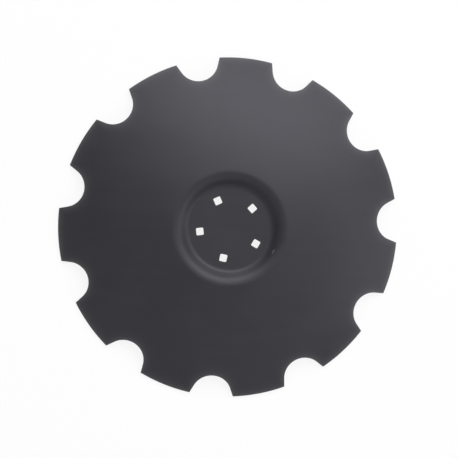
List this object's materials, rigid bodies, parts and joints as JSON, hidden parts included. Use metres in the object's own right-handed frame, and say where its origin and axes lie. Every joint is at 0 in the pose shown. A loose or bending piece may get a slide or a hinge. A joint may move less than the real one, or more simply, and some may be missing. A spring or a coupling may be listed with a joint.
{
  "type": "harrow disc blade",
  "caption": "Notched spherical disc blade for a disc harrow: a dished steel sheet with scalloped rim, a sunken flat centre and a ring of square bolt holes.",
  "frame": {"origin": "centre of the hub seat, which is the convex face of the sunken flat centre, on the disc axis", "axes": "+Z along the disc axis out of the convex side, +X through one bolt hole and the notch in line with it. The blade lies on its rim with the convex side up."},
  "size_m": [0.5575, 0.56, 0.0574],
  "materials": {
    "dark_paint": "satin"
  },
  "bodies": {
    "root": {"disc_blade": "dark_paint"}
  },
  "joints": []
}
